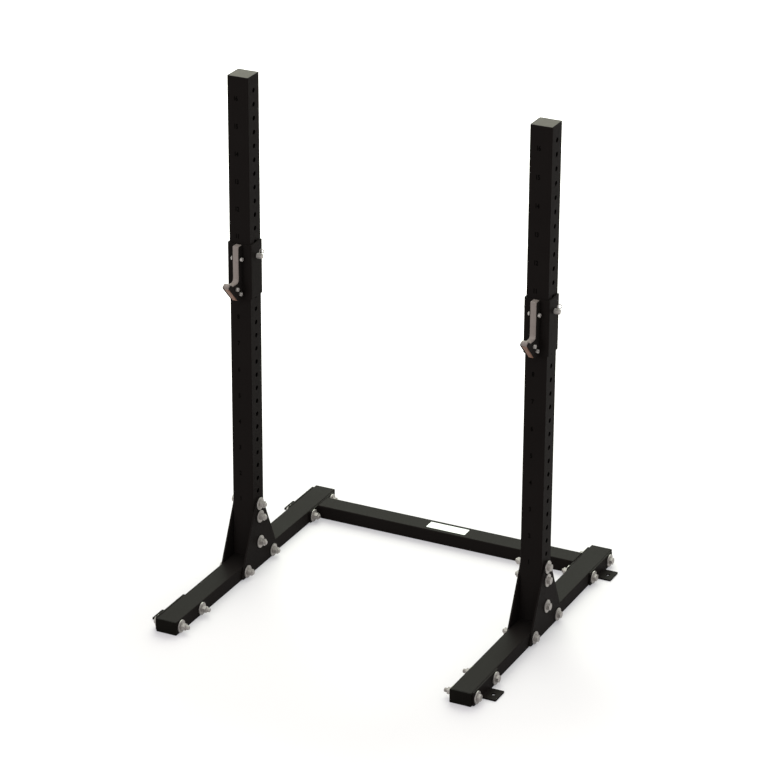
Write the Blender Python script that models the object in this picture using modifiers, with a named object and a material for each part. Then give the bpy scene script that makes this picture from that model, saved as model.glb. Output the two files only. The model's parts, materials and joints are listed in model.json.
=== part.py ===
"""Half rack: two punched uprights bolted to flat feet, a rear crossmember and two pinned bar hooks.

X runs across the rack, Y to its back and Z up. The origin is on the floor, midway between the
uprights. Every length below is in metres.
"""
import math

import bmesh
import bpy
from mathutils import Matrix, Vector

MM = 0.001
GAP = 0.3 * MM
MERGE = 0.01 * MM

# Driving dimensions of the frame
TUBE = 80 * MM
TUBE_CORNER = 4.5 * MM
UPRIGHT_WALL = 2 * MM
FOOT_WALL = 2.5 * MM
RACK_HEIGHT = 1854 * MM
FOOT_HEIGHT = 50 * MM
FOOT_TUBE_LENGTH = 1200 * MM
UPRIGHT_SPACING = 1120 * MM
CROSSMEMBER_Y = 490 * MM
PLATE = 6 * MM
FLANGE = 6 * MM

# Punched holes of the uprights
HOLE = 17 * MM
HOLE_PITCH = 50 * MM
TOP_HOLE = 1800 * MM
HOLE_COUNT = 35
HOLE_SIDES = 8
THROUGH = 120 * MM

# Gusset plates at the foot of each upright
GUSSET_FOOT = 150 * MM
GUSSET_TOP = 20 * MM
GUSSET_LOW = 2 * MM
GUSSET_HIGH = 270 * MM
GUSSET_CORNER = 12 * MM
GUSSET_BOLT_HEIGHTS = (250 * MM, 200 * MM, 100 * MM)
GUSSET_BOLT_REACH = 98 * MM

# Floor brackets and the bolts they share with the foot
BOLT_HALF_SPACING = 74 * MM
FOOT_BOLT_HEIGHT = 23.5 * MM
FRONT_BRACKET_Y = -497 * MM
BRACKET_LEG = 200 * MM
BRACKET_HEIGHT = 50 * MM
BRACKET_CORNER = 6 * MM
TAB_WIDTH = 71 * MM
TAB_REACH = 57 * MM
TAB_CORNER = 3 * MM
ANCHOR_HOLE = 14 * MM
ANCHOR_REACH = 32.5 * MM
ANCHOR_SIDES = 12
FLANGE_LENGTH = 200 * MM
FLANGE_HEIGHT = 47 * MM
FLANGE_CORNER = 8 * MM
VENT = 12 * MM

# M16 fasteners of the frame
BOLT = 16 * MM
BOLT_LENGTH = 123 * MM
BOLT_SIDES = 12
HEX = 24 * MM
HEAD = 11 * MM
NUT = 16 * MM
WASHER = 46 * MM
WASHER_THICK = 4 * MM

# Bar hooks
HOOK_HEIGHT = 1200 * MM
SLEEVE_WALL = 5 * MM
SLEEVE_PLAY = 1 * MM
SLEEVE_BACK = 37 * MM
SLEEVE_BEND = 8 * MM
SLEEVE_LENGTH = 200 * MM
PIN_BELOW_TOP = 50 * MM
CORE_WIDTH = 21 * MM
CORE_LEG = 25 * MM
CORE_DROP = 0.8 * MM
CORE_CROWN = 5 * MM
CORE_BEND = 12 * MM
SADDLE = 69 * MM
LIP_CENTRE = (87 * MM, 73.2 * MM)
LIP_RADIUS = 10 * MM
LIP_END = 145
NOSE_WIDTH = 17 * MM
NOSE_THICK = 3 * MM
NOSE_BOTTOM = 3 * MM
NOSE_TOP = 66 * MM
CHEEK = 4 * MM
CHEEK_DROP = 6 * MM
CHEEK_INSET = 3 * MM
CHEEK_NOSE_INSET = 0.4 * MM
CHEEK_NOSE_TOP = 70 * MM
CHEEK_LIP = (81 * MM, 78 * MM)
CHEEK_VALLEY = 70.5 * MM
CHEEK_CORNER = 5 * MM
HOOK_BOLT = 8 * MM
HOOK_BOLT_PLAY = 0.8 * MM
HOOK_BOLT_HEAD = 14 * MM
HOOK_BOLT_HEAD_LENGTH = 8 * MM
HOOK_NUT = 13 * MM
HOOK_BOLT_PLACES = ((14 * MM, 151 * MM), (47 * MM, 51 * MM), (23 * MM, 25.5 * MM))

# Locking pins of the hooks
PIN = 15 * MM
PIN_PLAY = 1 * MM
PIN_SIDES = 16
PIN_HEAD = 20 * MM
PIN_HEAD_LENGTH = 21 * MM
PIN_TIP = 54 * MM
BUSH = 22 * MM
BUSH_DEPTH = 13 * MM
RING_HEIGHT = 27 * MM
RING_HALF_WIDTH = 8 * MM
RING_FOOT = 3.5 * MM
RING_WIRE = 3 * MM
RING_INSET = 8 * MM
RING_LEAN = 6 * MM
RING_STEM = 2.2 * MM
RING_MOUTH = 20

HALF = TUBE / 2
SIDES = {"left": -1, "right": 1}


def clear_scene():
    """Removes everything that the open file holds."""
    for obj in list(bpy.data.objects):
        bpy.data.objects.remove(obj, do_unlink=True)


def collection(name):
    """A new collection linked to the scene."""
    made = bpy.data.collections.new(name)
    bpy.context.scene.collection.children.link(made)
    return made


def material(name, colour, roughness, metallic):
    """A Principled material with one colour."""
    made = bpy.data.materials.new(name)
    made.use_nodes = True
    shader = made.node_tree.nodes["Principled BSDF"]
    shader.inputs["Base Color"].default_value = (*colour, 1)
    shader.inputs["Roughness"].default_value = roughness
    shader.inputs["Metallic"].default_value = metallic
    return made


clear_scene()
PARTS = collection("half_rack")
CUTTERS = collection("cutters")
BLACK = ("black powder coat", (0.016, 0.014, 0.013), 0.5, 0.0)
GREY_CAP = ("grey plug plastic", (0.2, 0.2, 0.17), 0.5, 0.0)
BLACK_CAP = ("black plug plastic", (0.012, 0.011, 0.01), 0.6, 0.0)
ZINC = ("zinc plated steel", (0.45, 0.43, 0.4), 0.35, 1.0)
LINER = ("light grey nylon", (0.26, 0.23, 0.2), 0.55, 0.0)
NOSE = ("tan nylon", (0.22, 0.12, 0.08), 0.6, 0.0)


def finish(obj, look):
    """Gives a part its own material and smooth shading, and puts it among the parts."""
    obj.data.materials.clear()
    obj.data.materials.append(material(obj.name + "_" + look[0].replace(" ", "_"), *look[1:]))
    if isinstance(obj.data, bpy.types.Mesh):
        obj.data.shade_smooth()
        obj.data.set_sharp_from_angle(angle=math.radians(35))
    PARTS.objects.link(obj)
    return obj


def arc(centre, radius, start, end, steps):
    """Points along a circular arc, with its angles in degrees."""
    angles = [math.radians(start + (end - start) * i / steps) for i in range(steps + 1)]
    return [(centre[0] + radius * math.cos(a), centre[1] + radius * math.sin(a)) for a in angles]


def circle(centre, diameter, sides):
    """A closed polygon whose flats touch a circle of the given diameter."""
    radius = diameter / 2 / math.cos(math.pi / sides)
    return arc(centre, radius, 180 / sides, 180 / sides + 360 * (1 - 1 / sides), sides - 1)


def rounded_box(width, height, radius, steps=3):
    """The outline of a rectangle with round corners, centred on the origin."""
    w, h = width / 2 - radius, height / 2 - radius
    corners = ((w, h, 0), (-w, h, 90), (-w, -h, 180), (w, -h, 270))
    return [p for x, y, a in corners for p in arc((x, y), radius, a, a + 90, steps)]


def fillet(points, radii, steps=3):
    """Rounds the corners of an outline that have a radius above nought."""
    out = []
    for i, (point, radius) in enumerate(zip(points, radii)):
        corner = Vector(point)
        if radius <= 0:
            out.append(tuple(corner))
            continue
        before = (Vector(points[i - 1]) - corner).normalized()
        after = (Vector(points[(i + 1) % len(points)]) - corner).normalized()
        half = before.angle(after) / 2
        centre = corner + (before + after).normalized() * radius / math.sin(half)
        first = corner + before * radius / math.tan(half) - centre
        sweep = first.angle_signed(corner + after * radius / math.tan(half) - centre)
        for k in range(steps + 1):
            out.append(tuple(centre + Matrix.Rotation(-sweep * k / steps, 2) @ first))
    return out


# The plane of an outline: its own x, y and thickness directions as columns
ACROSS_X = Matrix(((0, 0, 1), (1, 0, 0), (0, 1, 0))).to_4x4()
ACROSS_Y = Matrix(((1, 0, 0), (0, 0, -1), (0, 1, 0))).to_4x4()
ACROSS_Z = Matrix.Identity(4)


def weld(mesh, place):
    """Closes a mesh's seams, faces it outwards and moves it to its place."""
    shape = bmesh.new()
    shape.from_mesh(mesh)
    bmesh.ops.remove_doubles(shape, verts=shape.verts, dist=MERGE)
    bmesh.ops.recalc_face_normals(shape, faces=shape.faces)
    shape.transform(place)
    shape.to_mesh(mesh)
    shape.free()


def plate_mesh(loops, thickness, plane, place):
    """A flat outline with its holes, given a thickness centred on a place in the rack."""
    curve = bpy.data.curves.new("outline", "CURVE")
    curve.dimensions = "2D"
    curve.fill_mode = "BOTH"
    curve.extrude = thickness / 2
    for loop in loops:
        spline = curve.splines.new("POLY")
        spline.points.add(len(loop) - 1)
        for point, (x, y) in zip(spline.points, loop):
            point.co = (x, y, 0, 1)
        spline.use_cyclic_u = True
    holder = bpy.data.objects.new("outline", curve)
    CUTTERS.objects.link(holder)
    evaluated = holder.evaluated_get(bpy.context.evaluated_depsgraph_get())
    mesh = bpy.data.meshes.new_from_object(evaluated)
    bpy.data.objects.remove(holder, do_unlink=True)
    weld(mesh, Matrix.Translation(place) @ plane)
    return mesh


def plate(name, loops, thickness, plane, place, look):
    """A part cut from flat stock."""
    return finish(bpy.data.objects.new(name, plate_mesh(loops, thickness, plane, place)), look)


def rods_mesh(centres, diameter, length, sides):
    """Bars along X, side by side in one mesh, whose flats touch a circle of the given diameter."""
    radius = diameter / 2 / math.cos(math.pi / sides)
    turn = Matrix.Rotation(math.pi / 2, 4, "Y") @ Matrix.Rotation(math.pi / sides, 4, "Z")
    shape = bmesh.new()
    for centre in centres:
        bmesh.ops.create_cone(shape, cap_ends=True, segments=sides, depth=length,
                              radius1=radius, radius2=radius, matrix=Matrix.Translation(centre) @ turn)
    mesh = bpy.data.meshes.new("rods")
    shape.to_mesh(mesh)
    shape.free()
    return mesh


def combine(obj, mesh, operation):
    """Applies a Boolean with a mesh that stands in the same place."""
    tool = bpy.data.objects.new(obj.name + "_tool", mesh)
    tool.hide_render = True
    tool.display_type = "WIRE"
    CUTTERS.objects.link(tool)
    step = obj.modifiers.new(operation.lower(), "BOOLEAN")
    step.operation = operation
    step.solver = "EXACT"
    step.object = tool
    return obj


def drill(obj, centres, diameter, sides=HOLE_SIDES):
    """Round holes along X right through a part."""
    return combine(obj, rods_mesh(centres, diameter, THROUGH, sides), "DIFFERENCE")


def union_mesh(first, second):
    """One closed mesh from two that overlap."""
    holder = bpy.data.objects.new("union", first)
    CUTTERS.objects.link(holder)
    combine(holder, second, "UNION")
    evaluated = holder.evaluated_get(bpy.context.evaluated_depsgraph_get())
    mesh = bpy.data.meshes.new_from_object(evaluated)
    bpy.data.objects.remove(bpy.data.objects[holder.name + "_tool"], do_unlink=True)
    bpy.data.objects.remove(holder, do_unlink=True)
    return mesh


def turned_mesh(profile, steps):
    """A closed mesh turned about X from a profile of places along the axis and radii."""
    mesh = bpy.data.meshes.new("profile")
    points = [(radius, 0, along) for along, radius in profile]
    mesh.from_pydata(points, [(i, i + 1) for i in range(len(points) - 1)], [])
    holder = bpy.data.objects.new("profile", mesh)
    CUTTERS.objects.link(holder)
    screw = holder.modifiers.new("turn", "SCREW")
    screw.axis = "Z"
    screw.steps = steps
    screw.render_steps = steps
    screw.use_merge_vertices = True
    screw.merge_threshold = MERGE
    evaluated = holder.evaluated_get(bpy.context.evaluated_depsgraph_get())
    turned = bpy.data.meshes.new_from_object(evaluated)
    bpy.data.objects.remove(holder, do_unlink=True)
    weld(turned, Matrix.Rotation(math.pi / 2, 4, "Y"))
    return turned


def upright(side, x):
    """The standing tube, with a column of holes through both of its side walls."""
    low = FOOT_HEIGHT + GAP
    inner = TUBE - 2 * UPRIGHT_WALL
    loops = (rounded_box(TUBE, TUBE, TUBE_CORNER), rounded_box(inner, inner, TUBE_CORNER - UPRIGHT_WALL))
    middle = (RACK_HEIGHT + low) / 2
    tube = plate(side + "_upright", loops, RACK_HEIGHT - low, ACROSS_Z, (x, 0, middle), BLACK)
    heights = [TOP_HOLE - HOLE_PITCH * i for i in range(HOLE_COUNT)]
    return drill(tube, [(x, 0, z) for z in heights], HOLE)


def top_plug(side, x):
    """The square plug that closes an upright: a lid flush with the rim on a thin skirt."""
    lid, skirt, wall, step = 3 * MM, 16 * MM, 1.5 * MM, 0.5 * MM
    width = TUBE - 2 * UPRIGHT_WALL - 2 * GAP
    radius = TUBE_CORNER - UPRIGHT_WALL
    outer = width - 2 * step
    inner = outer - 2 * wall
    ring = (rounded_box(outer, outer, radius), rounded_box(inner, inner, radius - wall / 2))
    top = plate_mesh([rounded_box(width, width, radius)], lid, ACROSS_Z, (x, 0, RACK_HEIGHT - lid / 2))
    sleeve = plate_mesh(ring, skirt, ACROSS_Z, (x, 0, RACK_HEIGHT - (lid + skirt) / 2))
    return finish(bpy.data.objects.new(side + "_upright_plug", union_mesh(top, sleeve)), GREY_CAP)


def foot(side, x):
    """The flat tube on the floor, cross-drilled for its gussets, brackets and crossmember."""
    inner = (TUBE - 2 * FOOT_WALL, FOOT_HEIGHT - 2 * FOOT_WALL)
    loops = (rounded_box(TUBE, FOOT_HEIGHT, TUBE_CORNER), rounded_box(*inner, TUBE_CORNER - FOOT_WALL))
    tube = plate(side + "_foot", loops, FOOT_TUBE_LENGTH, ACROSS_Y, (x, 0, FOOT_HEIGHT / 2), BLACK)
    return drill(tube, [(x, y, FOOT_BOLT_HEIGHT) for y in foot_bolt_places()], HOLE)


def pair(centre):
    """The two bolt places either side of a bracket's middle."""
    return [centre - BOLT_HALF_SPACING, centre + BOLT_HALF_SPACING]


def foot_bolt_places():
    """Every place along a foot where a bolt goes through it."""
    return pair(FRONT_BRACKET_Y) + [-GUSSET_BOLT_REACH, GUSSET_BOLT_REACH] + pair(CROSSMEMBER_Y)


def foot_cap(side, end, x, direction):
    """The plug in the end of a foot, with a lip that covers the cut tube."""
    lip, depth = 4 * MM, 18 * MM
    y = direction * (FOOT_TUBE_LENGTH / 2 + GAP)
    inner = (TUBE - 2 * FOOT_WALL - 2 * GAP, FOOT_HEIGHT - 2 * FOOT_WALL - 2 * GAP)
    face = plate_mesh([rounded_box(TUBE, FOOT_HEIGHT, TUBE_CORNER)], lip, ACROSS_Y,
                      (x, y + direction * lip / 2, FOOT_HEIGHT / 2))
    plug = plate_mesh([rounded_box(*inner, TUBE_CORNER - FOOT_WALL)], depth, ACROSS_Y,
                      (x, y + direction * (lip - depth) / 2, FOOT_HEIGHT / 2))
    name = "%s_foot_%s_cap" % (side, end)
    return finish(bpy.data.objects.new(name, union_mesh(face, plug)), BLACK_CAP)


def gusset(name, x):
    """The tapering plate that ties an upright to its foot on one side."""
    outline = fillet([(-GUSSET_FOOT, GUSSET_LOW), (GUSSET_FOOT, GUSSET_LOW),
                      (GUSSET_TOP, GUSSET_HIGH), (-GUSSET_TOP, GUSSET_HIGH)],
                     [GUSSET_CORNER] * 4)
    holes = [circle((0, z), HOLE, HOLE_SIDES) for z in GUSSET_BOLT_HEIGHTS]
    for y in (-GUSSET_BOLT_REACH, GUSSET_BOLT_REACH):
        holes.append(circle((y, FOOT_BOLT_HEIGHT), HOLE, HOLE_SIDES))
    return plate(name, [outline] + holes, PLATE, ACROSS_X, (x, 0, 0), BLACK)


def floor_bracket(side, end, x, outward, y):
    """An angle bolted to the outer side of a foot, with a drilled tab on the floor."""
    face = x + outward * (HALF + GAP)
    leg_outline = fillet([(-BRACKET_LEG / 2, 0), (BRACKET_LEG / 2, 0),
                          (BRACKET_LEG / 2, BRACKET_HEIGHT), (-BRACKET_LEG / 2, BRACKET_HEIGHT)],
                         [BRACKET_CORNER] * 4)
    holes = [circle((s * BOLT_HALF_SPACING, FOOT_BOLT_HEIGHT), HOLE, HOLE_SIDES) for s in (-1, 1)]
    leg = plate_mesh([leg_outline] + holes, PLATE, ACROSS_X, (face + outward * PLATE / 2, y, 0))
    start, reach = outward * PLATE / 2, outward * TAB_REACH
    tab_outline = fillet([(start, -TAB_WIDTH / 2), (reach, -TAB_WIDTH / 2),
                          (reach, TAB_WIDTH / 2), (start, TAB_WIDTH / 2)],
                         [0, TAB_CORNER, TAB_CORNER, 0])
    anchor = circle((outward * ANCHOR_REACH, 0), ANCHOR_HOLE, ANCHOR_SIDES)
    tab = plate_mesh([tab_outline, anchor], PLATE, ACROSS_Z, (face, y, PLATE / 2))
    name = "%s_%s_floor_bracket" % (side, end)
    return finish(bpy.data.objects.new(name, union_mesh(leg, tab)), BLACK)


def crossmember():
    """The rear tube with a bolting flange welded to each end, vented through the flanges."""
    inner_face = UPRIGHT_SPACING / 2 - HALF - GAP
    reach = inner_face - FLANGE / 2
    inner = (TUBE - 2 * FOOT_WALL, FOOT_HEIGHT - 2 * FOOT_WALL)
    loops = (rounded_box(TUBE, FOOT_HEIGHT, TUBE_CORNER), rounded_box(*inner, TUBE_CORNER - FOOT_WALL))
    weldment = plate_mesh(loops, 2 * reach, ACROSS_X, (0, CROSSMEMBER_Y, FOOT_HEIGHT / 2))
    outline = rounded_box(FLANGE_LENGTH, FLANGE_HEIGHT, FLANGE_CORNER)
    sunk = FOOT_BOLT_HEIGHT - FOOT_HEIGHT / 2
    holes = [circle((s * BOLT_HALF_SPACING, sunk), HOLE, HOLE_SIDES) for s in (-1, 1)]
    holes.append(circle((0, 0), VENT, HOLE_SIDES))
    for sign in SIDES.values():
        place = (sign * (inner_face - FLANGE / 2), CROSSMEMBER_Y, FOOT_HEIGHT / 2)
        weldment = union_mesh(weldment, plate_mesh([outline] + holes, FLANGE, ACROSS_X, place))
    finish(bpy.data.objects.new("crossmember", weldment), BLACK)


def hex_outline(width):
    """A hexagon with the given distance across its flats."""
    return circle((0, 0), width, 6)


def clamp_bolt(name, outward, outer, inner, y, z):
    """A hexagon bolt with its two washers and its nut, clamping whatever lies between two faces.

    The head sits on the outward face. The nut and the bolt's end stand on the inner one.
    """
    grip = abs(outer - inner)
    seat = GAP + WASHER_THICK
    end = BOLT_LENGTH - seat
    profile = [(-end, 0), (-end, BOLT / 2),
               (-grip - seat, BOLT / 2), (-grip - seat, WASHER / 2), (-grip - GAP, WASHER / 2),
               (-grip - GAP, BOLT / 2), (GAP, BOLT / 2), (GAP, WASHER / 2), (seat, WASHER / 2), (seat, 0)]
    stack = turned_mesh(profile[::-1], BOLT_SIDES)
    sunk = 1 * MM
    head = plate_mesh([hex_outline(HEX)], HEAD + sunk, ACROSS_X, (seat + (HEAD - sunk) / 2, 0, 0))
    nut = plate_mesh([hex_outline(HEX)], NUT + sunk, ACROSS_X, (-grip - seat - (NUT - sunk) / 2, 0, 0))
    solid = union_mesh(union_mesh(stack, head), nut)
    if outward < 0:
        solid.transform(Matrix.Rotation(math.pi, 4, "Z"))
    solid.transform(Matrix.Translation((outer, y, z)))
    return finish(bpy.data.objects.new(name, solid), ZINC)


def frame_fasteners(side, x, outward):
    """The bolts of one side: five through the gussets and four through the brackets."""
    clad = HALF + GAP + PLATE
    outer = x + outward * clad
    inner = x - outward * clad
    for label, height in zip(("top", "middle", "low"), GUSSET_BOLT_HEIGHTS):
        clamp_bolt("%s_upright_%s_bolt" % (side, label), outward, outer, inner, 0, height)
    for label, y in (("front", -GUSSET_BOLT_REACH), ("rear", GUSSET_BOLT_REACH)):
        clamp_bolt("%s_gusset_%s_bolt" % (side, label), outward, outer, inner, y, FOOT_BOLT_HEIGHT)
    bare = x - outward * HALF
    flanged = x - outward * (HALF + GAP + FLANGE)
    for end, centre, inner in (("front", FRONT_BRACKET_Y, bare), ("rear", CROSSMEMBER_Y, flanged)):
        for number, y in enumerate(pair(centre), 1):
            name = "%s_%s_bracket_bolt_%d" % (side, end, number)
            clamp_bolt(name, outward, outer, inner, y, FOOT_BOLT_HEIGHT)


def hook_outline(points):
    """Turns distances forward of the sleeve and above its bottom into y and z."""
    front = -(HALF + SLEEVE_PLAY + SLEEVE_WALL)
    bottom = HOOK_HEIGHT + PIN_BELOW_TOP - SLEEVE_LENGTH
    return [(front - forward, bottom + up) for forward, up in points]


# Unit direction up the slanting nose of a hook, and the way out of it
NOSE_UP = Vector((96, 100)).normalized()
NOSE_OUT = Vector((NOSE_UP.y, -NOSE_UP.x))


def nose_point(up, out):
    """A point on the nose at a height above the sleeve's bottom, moved outwards."""
    tangent = Vector(LIP_CENTRE) + NOSE_OUT * LIP_RADIUS
    return tuple(tangent + NOSE_UP * (up - tangent.y) / NOSE_UP.y + NOSE_OUT * out)


def valley_points():
    """The hollow arc that runs down from the end of the lip until it is level with the saddle."""
    angle = math.radians(LIP_END)
    end_height = LIP_CENTRE[1] + LIP_RADIUS * math.sin(angle)
    radius = (end_height - SADDLE) / (1 - math.sin(angle))
    reach = LIP_RADIUS + radius
    centre = (LIP_CENTRE[0] + reach * math.cos(angle), LIP_CENTRE[1] + reach * math.sin(angle))
    return arc(centre, radius, LIP_END - 180, -90, 4)[1:]


def core_points():
    """The profile of the nylon core: lip, valley, saddle, crown, back and nose."""
    out_angle = math.degrees(math.atan2(NOSE_OUT.y, NOSE_OUT.x))
    lip = arc(LIP_CENTRE, LIP_RADIUS, out_angle, LIP_END, 8)
    top = SLEEVE_LENGTH - CORE_DROP
    saddle = arc((CORE_LEG + CORE_BEND, SADDLE + CORE_BEND), CORE_BEND, 270, 180, 4)
    crown = arc((CORE_LEG - CORE_CROWN, top - CORE_CROWN), CORE_CROWN, 0, 90, 3)
    recess = -(NOSE_THICK + GAP)
    heel = [(GAP, top), (GAP, NOSE_BOTTOM), nose_point(NOSE_BOTTOM, recess)]
    nose = [nose_point(NOSE_TOP, recess), nose_point(NOSE_TOP, 0)]
    return lip + valley_points() + saddle + crown + heel + nose


def cheek_points():
    """The profile of a steel cheek, a little inside the core where the bar rests."""
    top = SLEEVE_LENGTH - CHEEK_DROP
    low = SADDLE - CHEEK_INSET
    front = CORE_LEG - CHEEK_INSET
    points = [(GAP, NOSE_BOTTOM), nose_point(NOSE_BOTTOM, -CHEEK_NOSE_INSET),
              nose_point(CHEEK_NOSE_TOP, -CHEEK_NOSE_INSET), CHEEK_LIP, (CHEEK_VALLEY, low),
              (front, low), (front, top), (GAP, top)]
    radii = [0, 0, CHEEK_CORNER, CHEEK_CORNER, CHEEK_CORNER, CORE_BEND, CHEEK_CORNER, 0]
    return fillet(points, radii)


def hook(side, x):
    """One bar hook: a bent sleeve round the upright and a steel and nylon hook in front."""
    inside = HALF + SLEEVE_PLAY
    outside = inside + SLEEVE_WALL
    bend = SLEEVE_BEND
    inner_bend = SLEEVE_BEND - SLEEVE_WALL
    outer = arc((-outside + bend, -outside + bend), bend, 180, 270, 4)
    outer += arc((outside - bend, -outside + bend), bend, 270, 360, 4)
    inner = arc((inside - inner_bend, -inside + inner_bend), inner_bend, 360, 270, 4)
    inner += arc((-inside + inner_bend, -inside + inner_bend), inner_bend, 270, 180, 4)
    channel = [(-outside, SLEEVE_BACK)] + outer + [(outside, SLEEVE_BACK), (inside, SLEEVE_BACK)]
    channel += inner + [(-inside, SLEEVE_BACK)]
    middle = HOOK_HEIGHT + PIN_BELOW_TOP - SLEEVE_LENGTH / 2
    sleeve = plate(side + "_hook_sleeve", [channel], SLEEVE_LENGTH, ACROSS_Z, (x, 0, middle), BLACK)
    drill(sleeve, [(x, 0, HOOK_HEIGHT)], PIN + PIN_PLAY, PIN_SIDES)

    places = hook_outline(HOOK_BOLT_PLACES)
    holes = [circle(place, HOOK_BOLT + HOOK_BOLT_PLAY, HOLE_SIDES) for place in places]
    core = [hook_outline(core_points())] + holes
    plate(side + "_hook_core", core, CORE_WIDTH, ACROSS_X, (x, 0, 0), LINER)
    skin = [nose_point(NOSE_BOTTOM, -NOSE_THICK), nose_point(NOSE_BOTTOM, 0),
            nose_point(NOSE_TOP - 2 * GAP, 0), nose_point(NOSE_TOP - 2 * GAP, -NOSE_THICK)]
    plate(side + "_hook_nose_strip", [hook_outline(skin)], NOSE_WIDTH, ACROSS_X, (x, 0, 0), NOSE)
    shift = CORE_WIDTH / 2 + GAP + CHEEK / 2
    cheek = [hook_outline(cheek_points())] + holes
    for label, sign in SIDES.items():
        name = "%s_hook_%s_cheek" % (side, label)
        plate(name, cheek, CHEEK, ACROSS_X, (x + sign * shift, 0, 0), BLACK)
    hook_fasteners(side, x, shift + CHEEK / 2)


def hook_fasteners(side, x, reach):
    """Three cap-headed bolts through a hook, each with its nut on the hook's left side."""
    seat = reach + GAP
    head, chamfer, nut_depth, spare = HOOK_BOLT_HEAD_LENGTH, 1 * MM, 6 * MM, 2 * MM
    tail = seat + nut_depth + spare
    profile = [(seat + head, 0), (seat + head, HOOK_BOLT_HEAD / 2 - chamfer),
               (seat + head - chamfer, HOOK_BOLT_HEAD / 2), (seat, HOOK_BOLT_HEAD / 2),
               (seat, HOOK_BOLT / 2), (-tail, HOOK_BOLT / 2), (-tail, 0)]
    for label, (y, z) in zip(("top", "front", "rear"), hook_outline(HOOK_BOLT_PLACES)):
        nut = plate_mesh([hex_outline(HOOK_NUT)], nut_depth, ACROSS_X, (-seat - nut_depth / 2, 0, 0))
        solid = union_mesh(turned_mesh(profile, BOLT_SIDES), nut)
        solid.transform(Matrix.Translation((x, y, z)))
        finish(bpy.data.objects.new("%s_hook_%s_bolt" % (side, label), solid), ZINC)


def locking_pin(side, x):
    """The pin that goes through sleeve and upright, with its pull ring, and the bush for its tip."""
    seat = HALF + SLEEVE_PLAY + SLEEVE_WALL + GAP
    end = seat + PIN_HEAD_LENGTH
    chamfer = 1 * MM
    profile = [(end, 0), (end, PIN_HEAD / 2 - chamfer), (end - chamfer, PIN_HEAD / 2),
               (seat, PIN_HEAD / 2), (seat, PIN / 2), (-PIN_TIP + 2 * chamfer, PIN / 2),
               (-PIN_TIP, PIN / 2 - 2 * chamfer), (-PIN_TIP, 0)]
    place = Matrix.Translation((x, 0, HOOK_HEIGHT))
    pin = turned_mesh(profile, PIN_SIDES)
    obj = finish(bpy.data.objects.new(side + "_locking_pin", pin), ZINC)
    obj.matrix_world = place
    bush = [circle((0, 0), BUSH, PIN_SIDES), circle((0, 0), PIN + PIN_PLAY, PIN_SIDES)]
    bush_place = (x - seat - BUSH_DEPTH / 2, 0, HOOK_HEIGHT)
    plate(side + "_pin_bush", bush, BUSH_DEPTH, ACROSS_X, bush_place, BLACK)
    wire = bpy.data.curves.new(side + "_pull_ring", "CURVE")
    wire.dimensions = "3D"
    wire.bevel_depth = RING_WIRE / 2
    wire.bevel_resolution = 1
    wire.use_fill_caps = True
    start = PIN_HEAD / 2 + GAP
    rise = RING_HEIGHT - RING_HALF_WIDTH
    bow = arc((RING_LEAN, rise), RING_HALF_WIDTH, 180 + RING_MOUTH, -RING_MOUTH, 10)
    stem = start + RING_STEM
    loop = [(-RING_FOOT, start), (-RING_FOOT, stem)] + bow + [(RING_FOOT, stem), (RING_FOOT, start)]
    spline = wire.splines.new("POLY")
    spline.points.add(len(loop) - 1)
    for point, (along, z) in zip(spline.points, loop):
        point.co = (end - RING_INSET + along, 0, z, 1)
    ring = bpy.data.objects.new(side + "_pull_ring", wire)
    ring.matrix_world = place
    finish(ring, ZINC)


def build_side(side, sign):
    """Everything that stands on one foot."""
    x = sign * UPRIGHT_SPACING / 2
    foot(side, x)
    foot_cap(side, "front", x, -1)
    foot_cap(side, "rear", x, 1)
    upright(side, x)
    top_plug(side, x)
    shift = HALF + GAP + PLATE / 2
    gusset(side + "_outer_gusset", x + sign * shift)
    gusset(side + "_inner_gusset", x - sign * shift)
    floor_bracket(side, "front", x, sign, FRONT_BRACKET_Y)
    floor_bracket(side, "rear", x, sign, CROSSMEMBER_Y)
    frame_fasteners(side, x, sign)
    hook(side, x)
    locking_pin(side, x)


crossmember()
for side_name, side_sign in SIDES.items():
    build_side(side_name, side_sign)
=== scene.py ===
# %% [markdown]
# A half rack in black powder coat
#
# The rack stands on two flat feet. Two square uprights are bolted to the feet through gusset plates, a
# crossmember ties the feet together at the back, and a bar hook is pinned to each upright. The packed
# model already has every piece at its place and size. This lesson gives each piece the surface that the
# real one has, from rolled corners and round punched holes to chamfered bolts. The light comes last.
#
# The first step loads the imported model. Each new piece takes its place and size from the box of its
# node.

# %% Load the imported model
import json
import math

import bmesh
import bpy
import numpy as np
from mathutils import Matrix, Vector
from mathutils.geometry import tessellate_polygon

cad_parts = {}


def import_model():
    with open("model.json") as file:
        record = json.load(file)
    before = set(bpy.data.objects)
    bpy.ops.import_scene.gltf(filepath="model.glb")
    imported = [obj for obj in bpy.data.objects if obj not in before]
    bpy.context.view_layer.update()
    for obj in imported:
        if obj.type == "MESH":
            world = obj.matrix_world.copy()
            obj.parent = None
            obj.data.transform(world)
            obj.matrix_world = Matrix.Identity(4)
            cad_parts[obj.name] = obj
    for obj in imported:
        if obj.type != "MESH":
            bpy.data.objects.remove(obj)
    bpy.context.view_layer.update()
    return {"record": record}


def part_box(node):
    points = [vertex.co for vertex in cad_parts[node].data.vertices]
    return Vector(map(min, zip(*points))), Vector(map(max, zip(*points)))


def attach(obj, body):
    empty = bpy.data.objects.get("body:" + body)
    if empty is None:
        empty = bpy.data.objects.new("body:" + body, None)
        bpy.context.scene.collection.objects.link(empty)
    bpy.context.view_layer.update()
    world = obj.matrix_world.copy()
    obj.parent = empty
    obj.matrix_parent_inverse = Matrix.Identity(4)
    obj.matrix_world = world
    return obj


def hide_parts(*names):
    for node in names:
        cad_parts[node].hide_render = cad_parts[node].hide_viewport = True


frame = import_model()
record = frame["record"]
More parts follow.
